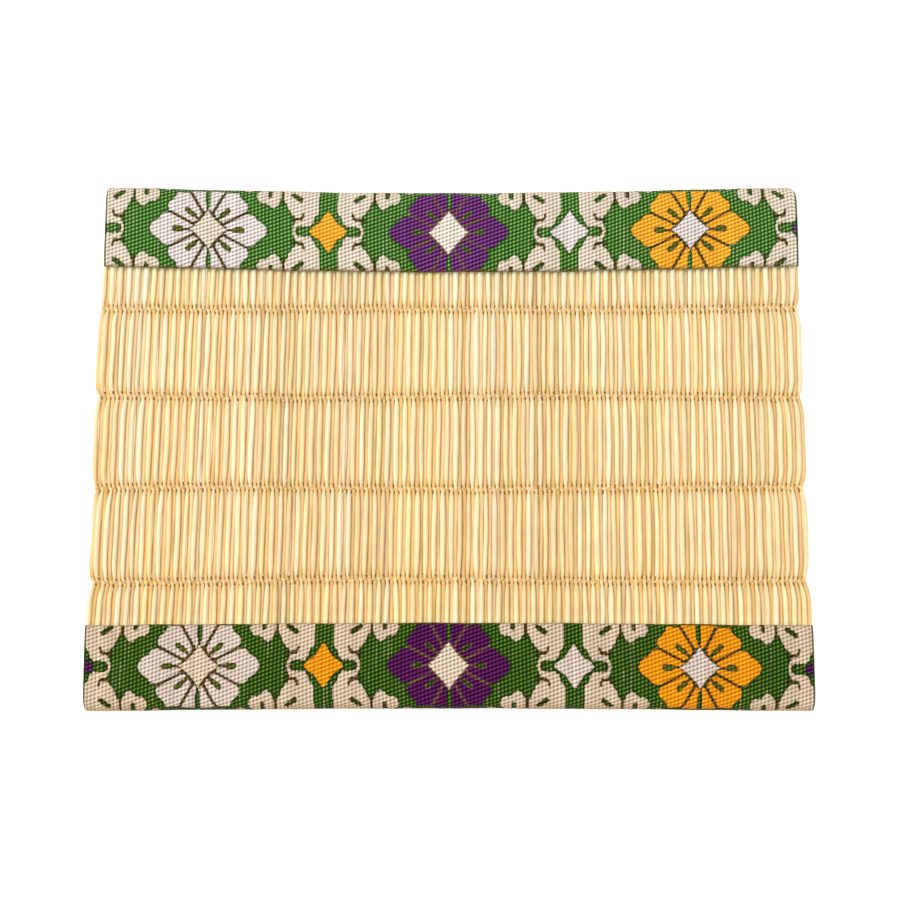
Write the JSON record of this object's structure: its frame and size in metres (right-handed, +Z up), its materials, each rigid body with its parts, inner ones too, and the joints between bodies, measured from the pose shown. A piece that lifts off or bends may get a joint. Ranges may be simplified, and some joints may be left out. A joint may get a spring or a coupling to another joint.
{
  "type": "tatami mat",
  "caption": "Small flat tatami mat of woven rush with ridges across it and a brocade binding folded over each end, for a table or shelf.",
  "frame": {"origin": "centre of the mat's footprint, on the surface that it lies on", "axes": "+X along the bindings and the warp threads, +Y along the rushes towards the far binding, +Z up out of the mat's face"},
  "size_m": [0.116, 0.0872, 0.0046],
  "materials": {
    "rush": "woven dried rush, satin",
    "brocade_far": "woven brocade, soft sheen",
    "brocade_near": "woven brocade, soft sheen"
  },
  "bodies": {
    "root": {"rush_mat": "rush", "binding_far": "brocade_far", "binding_near": "brocade_near"}
  },
  "joints": []
}
